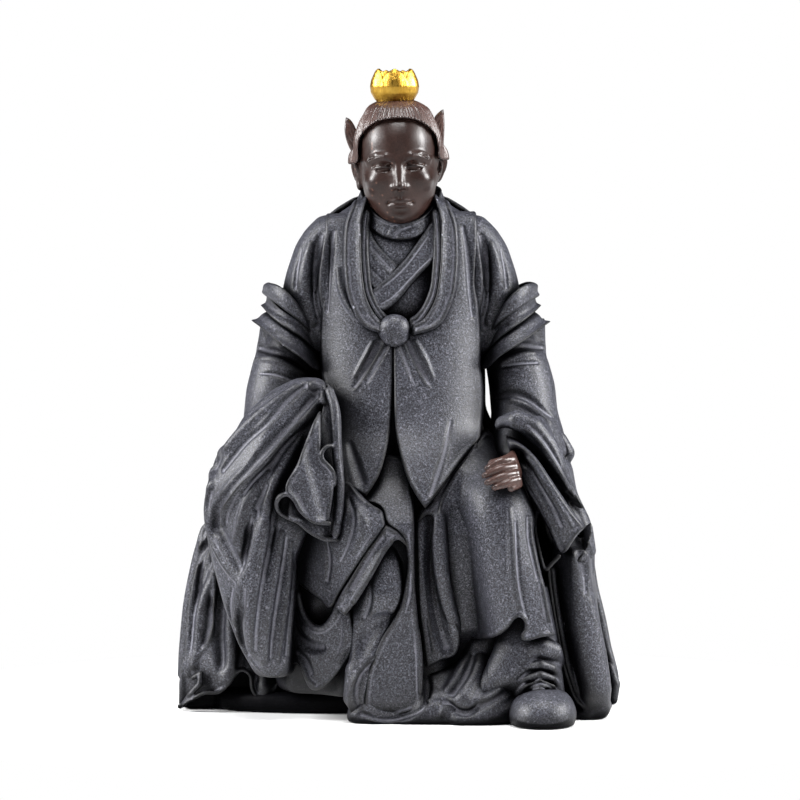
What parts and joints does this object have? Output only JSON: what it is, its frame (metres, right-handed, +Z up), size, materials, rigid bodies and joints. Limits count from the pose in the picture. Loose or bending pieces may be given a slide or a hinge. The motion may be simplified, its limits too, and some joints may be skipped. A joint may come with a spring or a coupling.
{
  "type": "seated robed figure okimono",
  "caption": "Seated robed figure in dark matte stoneware, with a brown clay head and hand and a gold lotus crown; stands on its flat base.",
  "frame": {"origin": "on the flat underside that the figure stands on, under the middle of its neck", "axes": "+Z up along the figure's height, -Y towards its front, +X towards its left side"},
  "size_m": [0.2053, 0.1436, 0.2993],
  "materials": {
    "dark_clay": "matte, unglazed, fine sandy speckle",
    "brown_clay": "unglazed, burnished to a soft gloss",
    "gilding": "gold lacquer over clay, slightly worn"
  },
  "bodies": {
    "root": {"back_robe": "dark_clay", "centre_apron": "dark_clay", "chest_knot": "dark_clay", "front_hem": "dark_clay", "hair_cap": "brown_clay", "head": "brown_clay", "left_forearm_sleeve": "dark_clay", "left_front_panel": "dark_clay", "left_hair_tuft": "brown_clay", "left_hand": "brown_clay", "left_hanging_sleeve": "dark_clay", "left_inner_lapel": "dark_clay", "left_knee_panel": "dark_clay", "left_lapel": "dark_clay", "left_lapel_rim": "dark_clay", "left_lower_cuff": "dark_clay", "left_middle_cuff": "dark_clay", "left_shoe": "dark_clay", "left_shoulder_sleeve": "dark_clay", "left_side_robe": "dark_clay", "left_sleeve_drop": "dark_clay", "left_sleeve_lip": "dark_clay", "left_trouser": "dark_clay", "left_upper_cuff": "dark_clay", "lotus_crown": "gilding", "neck_collar": "dark_clay", "plinth": "dark_clay", "right_forearm_sleeve": "dark_clay", "right_front_panel": "dark_clay", "right_hair_tuft": "brown_clay", "right_hanging_sleeve": "dark_clay", "right_inner_lapel": "dark_clay", "right_lapel": "dark_clay", "right_lapel_rim": "dark_clay", "right_lower_cuff": "dark_clay", "right_middle_cuff": "dark_clay", "right_shoulder_sleeve": "dark_clay", "right_side_robe": "dark_clay", "right_sleeve_lip": "dark_clay", "right_thigh_panel": "dark_clay", "right_thigh_trim": "dark_clay", "right_trouser": "dark_clay", "right_under_robe": "dark_clay", "right_upper_cuff": "dark_clay", "seated_lap": "dark_clay", "side_panel": "dark_clay", "torso": "dark_clay"}
  },
  "joints": []
}
